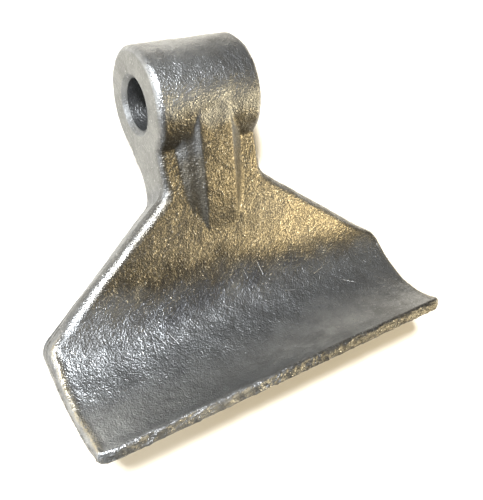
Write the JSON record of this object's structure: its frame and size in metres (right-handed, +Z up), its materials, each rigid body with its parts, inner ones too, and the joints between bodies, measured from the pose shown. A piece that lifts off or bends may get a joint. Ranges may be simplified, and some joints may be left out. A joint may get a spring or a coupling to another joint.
{
  "type": "flail mower hammer",
  "caption": "One-piece forged swinging hammer with a pin eye, a ribbed neck and a wide blade that curls forward into a scooped cutting lip.",
  "frame": {"origin": "middle of the pin bore, on its axis", "axes": "the hammer lies on its back: +X along the pin bore, -Y towards the cutting edge, +Z up, away from the surface it lies on"},
  "size_m": [0.1628, 0.1411, 0.045],
  "materials": {
    "forged_steel": "as-forged steel with a fine shot-blasted grain, sides of the eye ground flat"
  },
  "bodies": {
    "root": {"hammer_forging": "forged_steel"}
  },
  "joints": []
}
